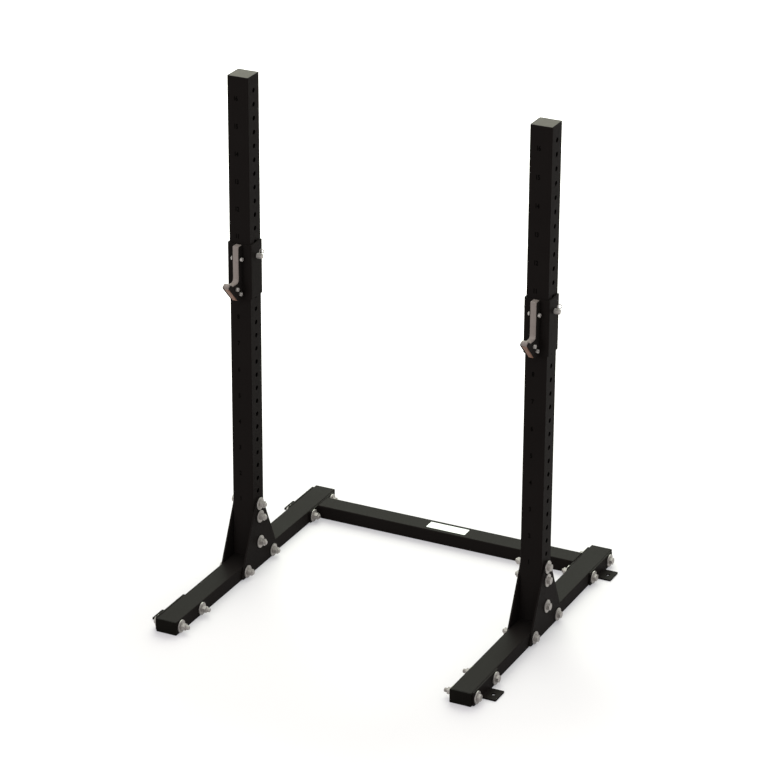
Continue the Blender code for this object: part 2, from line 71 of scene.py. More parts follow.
slot_of = {part["node"]: part["material_slot"] for part in record["subparts"]}
body_of = {node: body for body, nodes in record["behaviour"]["bodies"].items() for node in nodes}

# %% [markdown]
# The camera
#
# A long lens far away keeps the uprights nearly parallel, as they are in the picture. Its place and lens
# follow from the edges of the tubes, whose real sizes are known. The small shift stands for the crop.

# %% Camera
EYE = (4.649, -9.543, 5.448)
AZIMUTH = math.radians(26.78)
DIP = math.radians(23.31)
SENSOR = 36
LENS = 157.41
SHIFT = (0.0501, -0.0215)
FAR_CLIP = 200


def put(name, data):
    """A new object in the scene that shows the given data."""
    made = bpy.data.objects.new(name, data)
    bpy.context.scene.collection.objects.link(made)
    return made


camera = put("camera", bpy.data.cameras.new("camera"))
camera.location = EYE
camera.rotation_euler = (math.pi / 2 - DIP, 0, AZIMUTH)
camera.data.sensor_width = SENSOR
camera.data.lens = LENS
camera.data.shift_x, camera.data.shift_y = SHIFT
camera.data.clip_end = FAR_CLIP
bpy.context.scene.camera = camera
bpy.context.scene.view_settings.view_transform = "Standard"
print("camera distance: %.2f m" % Vector(EYE).length)

# %% [markdown]
# Shader maths as Python
#
# A material is a small calculation that runs at each point of a surface. Written node by node it is
# long and hard to read, so a number that leaves a socket is wrapped in a class whose operators add the
# Math nodes. After that `0.5 + 0.1 * mask` is one line here and two nodes in the material.


# %% A number from a socket
class Number:
    """A value that a socket carries. Sums and products with it add Math nodes to its recipe."""

    def __init__(self, recipe, socket):
        self.recipe = recipe
        self.socket = socket

    def math(self, operation, first, second):
        return self.recipe.node("ShaderNodeMath", {"operation": operation}, {0: first, 1: second})

    def __add__(self, other):
        return self.math("ADD", self, other)

    def __sub__(self, other):
        return self.math("SUBTRACT", self, other)

    def __mul__(self, other):
        return self.math("MULTIPLY", self, other)

    __radd__ = __add__
    __rmul__ = __mul__


# %% A material while it is written
class Recipe:
    """A new material or world, and the one method that adds any node to it."""

    def __init__(self, name, kind="materials", last="Principled BSDF"):
        self.owner = getattr(bpy.data, kind).new(name)
        self.owner.use_nodes = True
        self.tree = self.owner.node_tree
        self.last = self.tree.nodes[last]

    def node(self, kind, settings, sockets, output=0):
        """Adds a node, sets it up, fills its sockets with values or links, and returns one output."""
        made = self.tree.nodes.new(kind)
        for key, value in settings.items():
            setattr(made, key, value)
        self.fill(made, sockets)
        return Number(self, made.outputs[output])

    def fill(self, node, sockets):
        for key, value in sockets.items():
            if isinstance(value, Number):
                self.tree.links.new(value.socket, node.inputs[key])
            else:
                node.inputs[key].default_value = value

    def place(self):
        """The point's own coordinates, which are metres in the rack's frame."""
        return self.node("ShaderNodeTexCoord", {}, {}, "Object")

    def noise(self, scale, detail=2.0, stretch=(1, 1, 1)):
        """Soft random values from 0 to 1, with features about 1 / scale metres wide."""
        vector = self.node("ShaderNodeMapping", {}, {"Vector": self.place(), "Scale": stretch})
        return self.node("ShaderNodeTexNoise", {}, {"Vector": vector, "Scale": scale, "Detail": detail})

    def step(self, value, low, high):
        """Nought below low, one above high and a smooth climb between them."""
        sockets = {"Value": value, "From Min": low, "From Max": high}
        return self.node("ShaderNodeMapRange", {"interpolation_type": "SMOOTHSTEP"}, sockets)

    def blend(self, mask, first, second):
        """The first colour where the mask is nought and the second where it is one."""
        colours = {0: mask, 6: (*first, 1), 7: (*second, 1)}
        return self.node("ShaderNodeMix", {"data_type": "RGBA"}, colours, 2)

    def seen(self):
        """One for the rays that the eye, reflections and glass see, and nought for all others."""
        most = 0.0
        for kind in ("Is Camera Ray", "Is Glossy Ray", "Is Transmission Ray"):
            flag = self.node("ShaderNodeLightPath", {}, {}, kind)
            most = flag.math("MAXIMUM", flag, most)
        return most

    def bump(self, height, depth):
        """A surface normal tilted by a height that runs from nought to the given depth in metres."""
        return self.node("ShaderNodeBump", {}, {"Height": height, "Distance": depth, "Strength": 1.0})

    def finish(self, **sockets):
        """Fills the last node's sockets, with names written in words joined by underscores."""
        self.fill(self.last, {key.replace("_", " "): value for key, value in sockets.items()})
        return self.owner


# %% [markdown]
# Powder coat
#
# The frame is sprayed with dry powder that melts into a skin in an oven. The skin pulls itself into low
# waves about two millimetres across with a finer grain on them, which break up its faint shine. Three
# sizes of noise give that: the waves and the grain go into the bump, and slow clouds shift the warm
# black and the roughness a little from place to place.


# %% Black powder coat
def powder_coat():
    """Textured satin paint: waves and grain in the bump, slow clouds in colour and roughness."""
    recipe = Recipe("satin_black_powder_coat")
    waves = recipe.noise(420)
    grain = recipe.noise(1500, 1.0)
    clouds = recipe.noise(9, 3.0)
    speckle = recipe.step(grain, 0.62, 0.75)
    mottle = clouds * 0.7 + speckle * 0.3
    return recipe.finish(
        Base_Color=recipe.blend(mottle, (0.0135, 0.0112, 0.0106), (0.019, 0.0159, 0.015)),
        Roughness=0.5 + 0.1 * (clouds - 0.5) + 0.06 * (grain - 0.5),
        Specular_IOR_Level=0.012,
        Normal=recipe.bump(waves * 0.7 + grain * 0.3, depth=0.00006),
    )


# %% [markdown]
# Zinc, nylon and plug plastic
#
# The fasteners are zinc plated: a soft grey metal whose crystals make faint patches. The hook is lined
# with sawn nylon, which keeps fine straight marks from the blade and gets dark rubs from the bar. The
# plugs are moulded with a fine even grain.


# %% Zinc plate
def zinc_plate():
    """Plated steel: patches of crystal in colour and roughness, with a very fine grain."""
    recipe = Recipe("zinc_plated_steel")
    patches = recipe.noise(160, 3.0)
    grain = recipe.noise(2200, 1.0)
    return recipe.finish(
        Base_Color=recipe.blend(patches, (0.355, 0.33, 0.315), (0.475, 0.445, 0.425)),
        Metallic=0.5,
        Roughness=0.5 + 0.2 * (patches - 0.5),
        Normal=recipe.bump(grain, depth=0.00002),
    )


# %% Nylon and plugs
def nylon(name, shade, rubbed):
    """Sawn nylon: fine straight marks in the bump and soft dark rubs in the colour."""
    recipe = Recipe(name)
    marks = recipe.noise(900, 1.0, stretch=(1, 1, 0.08))
    rubs = recipe.step(recipe.noise(70, 4.0, stretch=(0.3, 1, 1)), 0.55, 0.72)
    return recipe.finish(
        Base_Color=recipe.blend(rubs * 0.45, shade, rubbed),
        Roughness=0.5 + 0.15 * marks - 0.1 * rubs,
        Normal=recipe.bump(marks, depth=0.00005),
    )


def moulded(name, gloss, shade, pale):
    """Moulded plastic: an even spark-eroded grain and faint flow clouds."""
    recipe = Recipe(name)
    grain = recipe.noise(1100, 2.0)
    flow = recipe.noise(35, 2.0)
    return recipe.finish(
        Base_Color=recipe.blend(flow, shade, pale),
        Roughness=0.5 + 0.12 * (grain - 0.5),
        Specular_IOR_Level=gloss,
        Normal=recipe.bump(grain, depth=0.00004),
    )


finishes = {
    "black_powder_coat": powder_coat(),
    "zinc_plated_steel": zinc_plate(),
    "hook_liner_nylon": nylon("grey_nylon", (0.34, 0.285, 0.265), (0.2, 0.165, 0.155)),
    "hook_nose_nylon": nylon("tan_nylon", (0.34, 0.17, 0.115), (0.22, 0.11, 0.08)),
}
for slot, gloss, shade, pale in (
        ("grey_plug_plastic", 0.0, (0.146, 0.135, 0.127), (0.187, 0.174, 0.161)),
        ("black_cap_plastic", 0.03, (0.005, 0.0045, 0.0035), (0.009, 0.008, 0.0065))):
    finishes[slot] = moulded(slot, gloss, shade, pale)
print("finishes:", sorted(finishes))

# %% [markdown]
# Surfaces as arrays
#
# Every new piece is a grid of points worked out in one go with numpy. A surface here is a pair: an array
# of points in millimetres, and blocks of faces that index it. Small functions join surfaces, stand them
# in the rack and turn them into objects.

# %% Grids, joins and places
MM = 0.001
WELD = 1e-6
CREASE = math.radians(28)
AXES = np.eye(3)
X, Y, Z = AXES
SIDES = {"left": -1, "right": 1}


def box_of(node):
    """A node's lowest corner, highest corner and middle in millimetres."""
    low, high = np.array(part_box(node)) / MM
    return low, high, (low + high) / 2


def grid_faces(rows, columns, closed):
    """Quads between neighbours (i, j), (i, j + 1), (i + 1, j + 1) and (i + 1, j) of a grid."""
    i, j = np.mgrid[0:rows - 1, 0:columns - (not closed)]
    after = (j + 1) % columns
    corners = [i * columns + j, i * columns + after, (i + 1) * columns + after, (i + 1) * columns + j]
    return np.stack(corners, -1).reshape(-1, 4)


def grid(points, closed=True):
    """A surface through an array of points, rows by columns by three."""
    rows, columns = points.shape[:2]
    return points.reshape(-1, 3), [grid_faces(rows, columns, closed)]


def join(*surfaces):
    """Several surfaces as one, with the faces of each counted on from the points before it."""
    starts = np.cumsum([0] + [len(points) for points, _ in surfaces])
    blocks = [block + start for (_, some), start in zip(surfaces, starts) for block in some]
    return np.concatenate([points for points, _ in surfaces]), blocks


def laid(surface, origin, along_s, along_w, along_depth):
    """Stands a shape in the rack: origin + s * along_s + w * along_w + depth * along_depth."""
    points, blocks = surface
    return origin + points @ np.array([along_s, along_w, along_depth]), blocks


# %% Objects from surfaces
def mesh_of(name, surface, finish):
    """A mesh in metres whose seams are welded, whose faces point outwards and whose creases are sharp."""
    points, blocks = surface
    mesh = bpy.data.meshes.new(name)
    mesh.from_pydata((points * MM).tolist(), [], [face for block in blocks for face in block.tolist()])
    shape = bmesh.new()
    shape.from_mesh(mesh)
    bmesh.ops.remove_doubles(shape, verts=shape.verts, dist=WELD)
    bmesh.ops.recalc_face_normals(shape, faces=shape.faces)
    shape.to_mesh(mesh)
    shape.free()
    mesh.shade_smooth()
    mesh.set_sharp_from_angle(angle=CREASE)
    mesh.materials.append(finish)
    return mesh


def mark(name, surface, finish, body):
    """A new piece with the given finish, which rides on a body."""
    made = put(name, mesh_of(name, surface, finish))
    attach(made, body)
    print("%s: %d faces" % (name, len(made.data.polygons)))
    return made


def dress(node, surface):
    """Stands a detailed piece in for a node, with the node's body, slot and finish."""
    slot = slot_of[node]
    made = mark(node + "_detailed", surface, finishes[slot], body_of[node])
    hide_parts(node)


# %% [markdown]
# Sheets with eased edges
#
# Nearly all of the rack is flat stock: plates cut to an outline, and tubes and sleeves rolled or bent
# from strip. So one idea makes them all. A sheet is drawn flat in three numbers: s across it, w up it
# and depth into it. Its rim is a strip that follows every outline, round a quarter turn, down the cut
# edge and round another quarter turn. Just inside the rim a support loop keeps the flat face flat under
# smooth shading.

# %% Outlines
SUPPORT = 0.5
EDGE = 0.6
RIM_STEPS = 2


def arc(centre, radius, start, end, steps):
    """Points at even angles, in degrees, along a circular arc: centre + radius * (cos, sin)."""
    angle = np.radians(np.linspace(start, end, steps + 1))
    return np.array(centre) + radius * np.column_stack([np.cos(angle), np.sin(angle)])


def hole(centre, diameter, count=32):
    """A circle drawn clockwise, so that the metal round it is on the left."""
    return arc(centre, diameter / 2, 0, -360, count)[:-1]


def rounded(corners, radii, steps):
    """An outline with arcs for corners. Each arc touches both sides at radius / tan(half the corner)."""
    corners = np.array(corners, float)
    pieces = []
    for k, (corner, radius) in enumerate(zip(corners, radii)):
        if radius <= 0:
            pieces.append(corner[None])
            continue
        before, after = corners[k - 1] - corner, corners[(k + 1) % len(corners)] - corner
        before, after = before / np.hypot(*before), after / np.hypot(*after)
        half = math.acos(np.clip(before @ after, -1, 1)) / 2
        middle = before + after
        centre = corner + middle / np.hypot(*middle) * radius / math.sin(half)
        first = corner + before * radius / math.tan(half) - centre
        last = corner + after * radius / math.tan(half) - centre
        start = math.degrees(math.atan2(first[1], first[0]))
        sweep = math.degrees(math.atan2(first[0] * last[1] - first[1] * last[0], first @ last))
        pieces.append(arc(centre, radius, start, start + sweep, steps))
    return np.concatenate(pieces)


def rectangle(low, high, radius, steps=6):
    """A rectangle with round corners, drawn anticlockwise."""
    corners = [low, (high[0], low[1]), high, (low[0], high[1])]
    return rounded(corners, [radius] * 4, steps)


# %% Rims and plates
def rim_rows(thickness, edge):
    """How far out and how deep a rim is along its way: a quarter turn, the cut edge, a quarter turn."""
    turn = np.linspace(0, math.pi / 2, RIM_STEPS + 1)
    out, sink = edge * np.sin(turn), edge * (1 - np.cos(turn))
    return np.append(out, out[::-1]), np.append(sink, thickness - sink[::-1])


def supported_rim(thickness, edge):
    """The same rim with a support row before and after it, from the start of its first turn."""
    out, sink = rim_rows(thickness, edge)
    return np.pad(out, 1, constant_values=-SUPPORT), np.pad(sink, 1, constant_values=(0, thickness))


def outwards(loop):
    """The mitred way out of a loop with the metal on its left: (n1 + n2) / (1 + n1 . n2)."""
    step = np.roll(loop, -1, 0) - loop
    step = step / np.hypot(step[:, 0], step[:, 1])[:, None]
    after = np.column_stack([step[:, 1], -step[:, 0]])
    before = np.roll(after, 1, 0)
    return (before + after) / (1 + (before * after).sum(1))[:, None]


def rim_strip(loop, out, reach, depth):
    """The grid loop + reach * out at each depth, rows by points by (s, w, depth)."""
    flat = loop[None] + reach[:, None, None] * out[None]
    deep = np.broadcast_to(depth[:, None, None], flat.shape[:2] + (1,))
    return np.concatenate([flat, deep], -1)


def at_depth(flat, depth):
    """Flat points (s, w) with one depth for all of them."""
    return np.column_stack([flat, np.full(len(flat), depth)])


def plate(loops, thickness, edge=EDGE):
    """A flat plate in (s, w, depth): a rim round each loop, and both faces filled between the rims."""
    reach, depth = supported_rim(thickness, edge)
    strips = [rim_strip(loop, outwards(loop), reach - edge, depth) for loop in loops]
    inner = [strip[0, :, :2] for strip in strips]
    triangles = np.array(tessellate_polygon([[Vector((*p, 0)) for p in loop] for loop in inner]))
    flat = np.concatenate(inner)
    faces = [(at_depth(flat, level), [triangles]) for level in (0, thickness)]
    return join(*[grid(strip) for strip in strips], *faces)


# %% [markdown]
# Punched sheets and folded paths
#
# A tube starts as a strip with its holes punched flat, and is then rolled square. The same order works
# here. The strip is a grid in s and w. A window round each hole is left out of the grid, and rows of
# points run from its border to the hole, through the eased rim and back on the other skin. Then the
# strip is folded along a path: a point goes to the path at s, less its depth along the path's normal.

# %% Punched sheet
SPAN = 8
TINY = 0.01


def stations(marks, centres, half):
    """The marks together with SPAN even steps across the window of each hole."""
    steps = np.linspace(-half, half, SPAN + 1)
    return np.unique(np.round(np.concatenate([marks, *[centre + steps for centre in centres]]), 5))


def eased_ends(start, end):
    """Marks where the eased rims at both ends of a sheet begin, and the support loops beside them."""
    return [start + EDGE, start + EDGE + SUPPORT, end - EDGE - SUPPORT, end - EDGE]


def around(s, w):
    """The border of a grid of stations as one loop, anticlockwise from its lowest corner."""
    across, up = np.ones(len(s)), np.ones(len(w))
    return np.concatenate([
        np.column_stack([s, w[0] * across])[:-1],
        np.column_stack([s[-1] * up, w])[:-1],
        np.column_stack([s, w[-1] * across])[:0:-1],
        np.column_stack([s[0] * up, w])[:0:-1]])


def hole_strip(s, w, centre, radius, thickness):
    """From a window's border to a circle of radius + EDGE, through the rim and back on the other skin."""
    border = around(s, w)
    ring = arc((0, 0), 1, -135, 225, 4 * SPAN)[:-1]
    reach, depth = supported_rim(thickness, EDGE)
    rows = rim_strip(np.broadcast_to(centre, ring.shape), ring, radius + EDGE - reach, depth)
    return grid(np.concatenate([at_depth(border, 0)[None], rows, at_depth(border, thickness)[None]]))


def skin(s, w, keep, depth, ring):
    """One face of a sheet over the stations, without the quads of its windows."""
    across, up = np.meshgrid(s, w)
    points = np.stack([across, up, np.full(across.shape, depth)], -1)
    return points.reshape(-1, 3), [grid_faces(len(w), len(s), ring)[keep.ravel()]]


def borders(s, w, ring):
    """Each open border of a sheet with its way out: two rings, or one loop round a rectangle."""
    if not ring:
        loop = around(s, w)
        return [(loop, outwards(loop))]
    ends = [(np.column_stack([s, np.full(len(s), w[k])]), (0.0, way)) for k, way in ((0, -1), (-1, 1))]
    return [(loop, np.broadcast_to(out, loop.shape)) for loop, out in ends]


def punched_sheet(s, w, holes, half, radius, thickness, ring=False):
    """A sheet with round holes in (s, w, depth). Its borders are given EDGE inside its real size."""
    keep = np.ones((len(w) - 1, len(s) - (not ring)), bool)
    pieces = []
    for centre in holes:
        i = np.searchsorted(s, centre[0] - half[0] - TINY)
        j = np.searchsorted(w, centre[1] - half[1] - TINY)
        keep[j:j + SPAN, i:i + SPAN] = False
        window = s[i:i + SPAN + 1], w[j:j + SPAN + 1]
        pieces.append(hole_strip(*window, centre, radius, thickness))
    reach, depth = rim_rows(thickness, EDGE)
    pieces += [grid(rim_strip(loop, out, reach, depth)) for loop, out in borders(s, w, ring)]
    pieces += [skin(s, w, keep, level, ring) for level in (0, thickness)]
    return join(*pieces)


# %% Paths to fold along
BEND_STEPS = 6


def distances(line):
    """How far each point of a flat line is from its start, along its way."""
    return np.append(0, np.cumsum(np.hypot(*np.diff(line, axis=0).T)))


def corner_path(centre, radius, start):
    """The places and normals of a quarter bend, without its two ends."""
    normals = arc((0, 0), 1, start, start + 90, BEND_STEPS)[1:-1]
    return np.array(centre) + radius * normals, normals


def tube_path(half_u, half_v, radius):
    """Once round a square tube from the foot of its right wall. A bend is a quarter circle."""
    places, normals = [], []
    for side in range(4):
        angle = math.radians(90 * side)
        out = np.round([math.cos(angle), math.sin(angle)])
        along = np.array([-out[1], out[0]])
        reach, run = (half_u, half_v) if side % 2 == 0 else (half_v, half_u)
        flat = run - radius
        for place in (-flat, SUPPORT - flat, flat - SUPPORT, flat):
            places.append((reach * out + place * along)[None])
            normals.append(out[None])
        bend, turn = corner_path((reach - radius) * out + flat * along, radius, 90 * side)
        places.append(bend)
        normals.append(turn)
    places.append(places[0])
    normals.append(normals[0])
    places = np.concatenate(places)
    return distances(places), places, np.concatenate(normals)


def fold(surface, path):
    """Bends a flat sheet: (s, w, depth) goes to the path's place at s less depth times its normal."""
    points, blocks = surface
    along, places, normals = path
    s, w, depth = points.T
    u, v = [np.interp(s, along, place) - depth * np.interp(s, along, normal)
            for place, normal in zip(places.T, normals.T)]
    return np.column_stack([u, v, w]), blocks


# %% [markdown]
# Uprights and feet
#
# An upright is 80 mm square tube with a 2 mm wall and 35 holes through both side walls. A foot is 80 by
# 50 mm tube with a 2.5 mm wall and six cross holes for its bolts. Both are a strip in s and w that is
# folded round its path. Only their sizes and their lists of holes differ.

# %% Tubes
HOLE = 17
HOLE_PITCH = 50
TOP_HOLE = 1800
HOLE_COUNT = 35
CORNER = 3
UPRIGHT_WALL = 2
UPRIGHT_WINDOW = (30, HOLE_PITCH / 2)
FOOT_WALL = 2.5
FOOT_WINDOW = (16, 20)
GUSSET_BOLT_REACH = 98
BRACKET_BOLTS = (-571, -423, 416, 564)
FOOT_BOLT_HEIGHT = 23.5
FOOT_BOLTS = np.array(sorted((*BRACKET_BOLTS, -GUSSET_BOLT_REACH, GUSSET_BOLT_REACH)), float)


def tube(half_u, half_v, wall, start, end, centres, half, lift=0):
    """A square tube along w, with a hole at each centre through its walls at u = half_u and -half_u."""
    path = tube_path(half_u, half_v, CORNER)
    along, places, _ = path
    right = half_v - CORNER
    # Of the places on the left wall the path comes first to the top one, whose v is nearest to right.
    left = along[np.argmin(places[:, 0] + TINY * abs(places[:, 1] - right))] + right
    middles = (right + lift, left - lift)
    s = stations(along[:-1], middles, half[0])
    w = stations(eased_ends(start, end), centres, half[1])
    holes = [(middle, centre) for middle in middles for centre in centres]
    return fold(punched_sheet(s, w, holes, half, HOLE / 2, wall, ring=True), path)


def long_tube(node, axis, wall, centres, window, lift=0):
    """Dresses a node that is one tube along Y (axis 1) or Z (axis 2), with holes in its X walls."""
    low, high, middle = box_of(node)
    half = (high - low) / 2
    shape = tube(half[0], half[3 - axis], wall, low[axis], high[axis], centres, window, lift)
    dress(node, laid(shape, middle * (1 - AXES[axis]), X, AXES[3 - axis], AXES[axis]))


for name in SIDES:
    holes = TOP_HOLE - HOLE_PITCH * np.arange(HOLE_COUNT)
    long_tube(name + "_upright", 2, UPRIGHT_WALL, holes, UPRIGHT_WINDOW)
    lift = FOOT_BOLT_HEIGHT - box_of(name + "_foot")[2][2]
    long_tube(name + "_foot", 1, FOOT_WALL, FOOT_BOLTS, FOOT_WINDOW, lift)

# %% [markdown]
# Plugs
#
# A grey square plug closes the top of each upright, flush with the steel. A black plug closes each end
# of a foot and laps over the cut edge. Both are a lid with an eased rim on a thin skirt that grips the
# inside of the tube.

# %% Plugs
SKIRT = 1.5
SKIRT_CORNER = 2
SKIRT_EDGE = 0.2
PLUG_CLEARANCE = 0.5
LID = 3
LID_CORNER = 2.5
LID_EDGE = 1.0
CAP_LID = 4
CAP_EDGE = 1.6


def plug(node, axis, out, sizes, inset):
    """A lid that faces out along an axis, on a thin square skirt, inset to fit inside a tube."""
    low, high, _ = box_of(node)
    lid, corner, edge = sizes
    face = (high if out > 0 else low)[axis]
    across = [0, 3 - axis]
    outer = np.array([low[across] + inset, high[across] - inset])
    inner = outer + [[SKIRT], [-SKIRT]]
    skirt = [rectangle(*outer, SKIRT_CORNER), rectangle(*inner, SKIRT_CORNER - SKIRT / 2)[::-1]]
    layers = [
        (face, plate([rectangle(low[across], high[across], corner)], lid, edge)),
        (face - out * (lid - EDGE), plate(skirt, high[axis] - low[axis] - lid + EDGE, SKIRT_EDGE))]
    ways = (X, AXES[3 - axis], -out * AXES[axis])
    dress(node, join(*[laid(shape, AXES[axis] * level, *ways) for level, shape in layers]))


for name in SIDES:
    plug(name + "_upright_plug", 2, 1, (LID, LID_CORNER, LID_EDGE), PLUG_CLEARANCE)
    for end, out in (("front", -1), ("rear", 1)):
        cap = "%s_foot_%s_cap" % (name, end)
        plug(cap, 1, out, (CAP_LID, CORNER, CAP_EDGE), FOOT_WALL + PLUG_CLEARANCE)

# %% [markdown]
# Weld beads
#
# The flanges of the crossmember and the tabs of the floor brackets are welded on. A bead of weld is a
# round cord laid along the joint with small even ripples, where the welder moved on a step at a time.
# It is a circle carried along a flat path, and its radius swells and shrinks along the way.


# %% Cords along a path
CORD_SIDES = 12
RIPPLE = 3.2
SWELL = 0.09
BEAD = 2.6
BEAD_POINTS = 150


def carried(path, across, radius):
    """A circle carried along a flat path: p + radius * (cos * across + sin * (tangent x across))."""
    tangent = np.gradient(path, axis=0)
    tangent = tangent / np.linalg.norm(tangent, axis=1)[:, None]
    side = np.cross(tangent, across)
    angle = np.linspace(0, 2 * math.pi, CORD_SIDES, endpoint=False)
    ring = np.cos(angle)[None, :, None] * across + np.sin(angle)[None, :, None] * side[:, None]
    return grid(path[:, None] + radius[:, None, None] * ring)


def bead(x, y, z):
    """A weld bead along even points, with a ripple each few millimetres and tapered ends."""
    path = np.column_stack(np.broadcast_arrays(x, y, z))
    along = np.arange(len(path)) * np.linalg.norm(path[1] - path[0])
    radius = BEAD * (1 + SWELL * np.sin(along * 2 * math.pi / RIPPLE))
    return carried(path, X, radius * np.sqrt(np.clip(np.minimum(along, along[::-1]) / BEAD, 0, 1)))


def even_line(line, step):
    """A line read again at even distances along its way."""
    along = distances(line)
    at = np.linspace(0, along[-1], int(along[-1] / step) + 1)
    return np.column_stack([np.interp(at, along, values) for values in line.T])


# %% [markdown]
# Crossmember, gussets and floor brackets
#
# The crossmember is a tube with a drilled flange on each end. The gussets are tapering plates either
# side of each upright. A floor bracket is a plate on the outer side of a foot, with a drilled tab that
# can be bolted to the floor.

# %% Crossmember
FLANGE = 6
FLANGE_CORNER = 8
FLANGE_HALF_HEIGHT = 23.5
VENT = 12
BOLT_HALF_SPACING = 74
CROSS_HALF_WIDTH = 40
TUBE_LAP = 1
TOP_BEAD_INSET = 3
SIDE_BEAD_INSET = 4
SIDE_BEAD_POINTS = 80


def bolt_holes(y):
    """The two holes that a flange or a bracket shares with the foot, either side of a place."""
    return [hole((y + way * BOLT_HALF_SPACING, FOOT_BOLT_HEIGHT), HOLE) for way in (-1, 1)]


def flange(low, high, middle, sign):
    """The bolting plate on one end of the crossmember, with a vent into the tube."""
    bottom, top = middle[2] - FLANGE_HALF_HEIGHT, middle[2] + FLANGE_HALF_HEIGHT
    outline = rectangle((low[1], bottom), (high[1], top), FLANGE_CORNER)
    loops = [outline, *bolt_holes(middle[1]), hole(middle[1:], VENT)]
    return laid(plate(loops, FLANGE), sign * high[0] * X, Y, Z, -sign * X)


def crossmember():
    """The rear tube with its two flanges and the beads between them, none under the tube."""
    low, high, middle = box_of("crossmember")
    half_z = (high - low)[2] / 2
    weld_x = high[0] - FLANGE
    end = weld_x + TUBE_LAP
    shape = tube(CROSS_HALF_WIDTH, half_z, FOOT_WALL, -end, end, [], FOOT_WINDOW)
    pieces = [laid(shape, middle * (Y + Z), Y, Z, X)]
    run_y = middle[1] + (CROSS_HALF_WIDTH - TOP_BEAD_INSET) * np.linspace(-1, 1, BEAD_POINTS)
    run_z = middle[2] + (FLANGE_HALF_HEIGHT - SIDE_BEAD_INSET) * np.linspace(-1, 1, SIDE_BEAD_POINTS)
    for sign in SIDES.values():
        pieces.append(flange(low, high, middle, sign))
        pieces.append(bead(sign * weld_x, run_y, middle[2] + FLANGE_HALF_HEIGHT))
        for edge in (-CROSS_HALF_WIDTH, CROSS_HALF_WIDTH):
            pieces.append(bead(sign * weld_x, middle[1] + edge, run_z))
    dress("crossmember", join(*pieces))


crossmember()

# %% Gussets
GUSSET_TOP = 20
GUSSET_CORNER = 12
GUSSET_BOLT_HEIGHTS = (250, 200, 100)


def gusset(node):
    """A tapering plate with five holes, straight from its foot to its narrow top."""
    low, high, _ = box_of(node)
    corners = [low[1:], (high[1], low[2]), (GUSSET_TOP, high[2]), (-GUSSET_TOP, high[2])]
    outline = rounded(corners, [GUSSET_CORNER] * 4, steps=8)
    holes = [hole((0, z), HOLE) for z in GUSSET_BOLT_HEIGHTS]
    holes += [hole((y, FOOT_BOLT_HEIGHT), HOLE) for y in (-GUSSET_BOLT_REACH, GUSSET_BOLT_REACH)]
    dress(node, laid(plate([outline, *holes], high[0] - low[0]), X * high[0], Y, Z, -X))


for name in SIDES:
    gusset(name + "_outer_gusset")
    gusset(name + "_inner_gusset")

# %% Floor brackets
PLATE = 6
BRACKET_CORNER = 6
TAB_HALF_WIDTH = 35.5
TAB_CORNER = 3
TAB_BEAD_INSET = 2
ANCHOR_HOLE = 14
ANCHOR_REACH = 32.5


def floor_bracket(side, end):
    """The plate against the foot, the drilled tab on the floor and the bead between them."""
    node = "%s_%s_floor_bracket" % (side, end)
    sign = SIDES[side]
    low, high, middle = box_of(node)
    inner = (low if sign > 0 else high)[0]
    outline = rectangle(low[1:], high[1:], BRACKET_CORNER, steps=8)
    leg = plate([outline, *bolt_holes(middle[1])], PLATE)
    reach, half = high[0] - low[0], TAB_HALF_WIDTH
    corners = [(EDGE, -half), (reach, -half), (reach, half), (EDGE, half)]
    tab_outline = rounded(corners, [0, TAB_CORNER, TAB_CORNER, 0], steps=8)
    tab = plate([tab_outline, hole((ANCHOR_REACH, 0), ANCHOR_HOLE)], PLATE)
    run = middle[1] + (half - TAB_BEAD_INSET) * np.linspace(-1, 1, BEAD_POINTS)
    dress(node, join(
        laid(leg, X * inner, Y, Z, sign * X),
        laid(tab, (inner, middle[1], PLATE), sign * X, Y, -Z),
        bead(inner + sign * PLATE, run, PLATE)))


for name in SIDES:
    floor_bracket(name, "front")
    floor_bracket(name, "rear")

# %% [markdown]
# Bolts, washers and nuts
#
# The frame is held by M16 hexagon bolts with wide washers. A turned shape is a profile spun about an
# axis, which in numpy is an outer product of its radii with a cosine and a sine. A hexagon is the same
# grid with a radius that changes with the angle, and its chamfer is the cone that cuts the corners off:
# the further out a point is, the lower it lies. The thread at the bolt's end is a turned shape too,
# whose radius follows a wave that climbs one pitch with each turn.

# %% Turned and hexagonal shapes
AROUND = 48
TURN = np.linspace(0, 2 * math.pi, AROUND, endpoint=False)
FACE_SHARE = 0.47
CHAMFER_SLOPE = math.tan(math.radians(30))
DISC_RIM_ROWS = 4
THREAD_ROWS = 40
THREAD_DEPTH = 0.6
THREAD_POINT = 0.5


def spun(along, radius):
    """Points (x, r cos a, r sin a) about the X axis, from a row of places and radii for each step."""
    x = np.broadcast_to(along, radius.shape)
    return grid(np.stack([x, radius * np.cos(TURN), radius * np.sin(TURN)], -1))


def turned(profile):
    """A turned shape about X from a profile of (place along it, radius)."""
    along, radius = np.array(profile, float).T[:, :, None]
    return spun(along, radius * np.ones(AROUND))


def hexagon(width):
    """The radius of a hexagon at even angles: half its width over the cosine from the nearest flat."""
    return width / 2 / np.cos((TURN + math.pi / 6) % (math.pi / 3) - math.pi / 6)


def hex_block(start, end, width, chamfers=(True, True)):
    """A hexagonal block along X whose corners are cut by a 30 degree cone at the ends that ask for it."""
    outer = hexagon(width)
    face = np.full(AROUND, FACE_SHARE * width)
    drop = (outer - face) * CHAMFER_SLOPE
    first, last = [drop * asked for asked in chamfers]
    centre = np.zeros(AROUND)
    along = [centre + start, centre + start, start + first, end - last, centre + end, centre + end]
    inner = [face if asked else outer for asked in chamfers]
    return spun(np.array(along), np.array([centre, inner[0], outer, outer, inner[1], centre]))


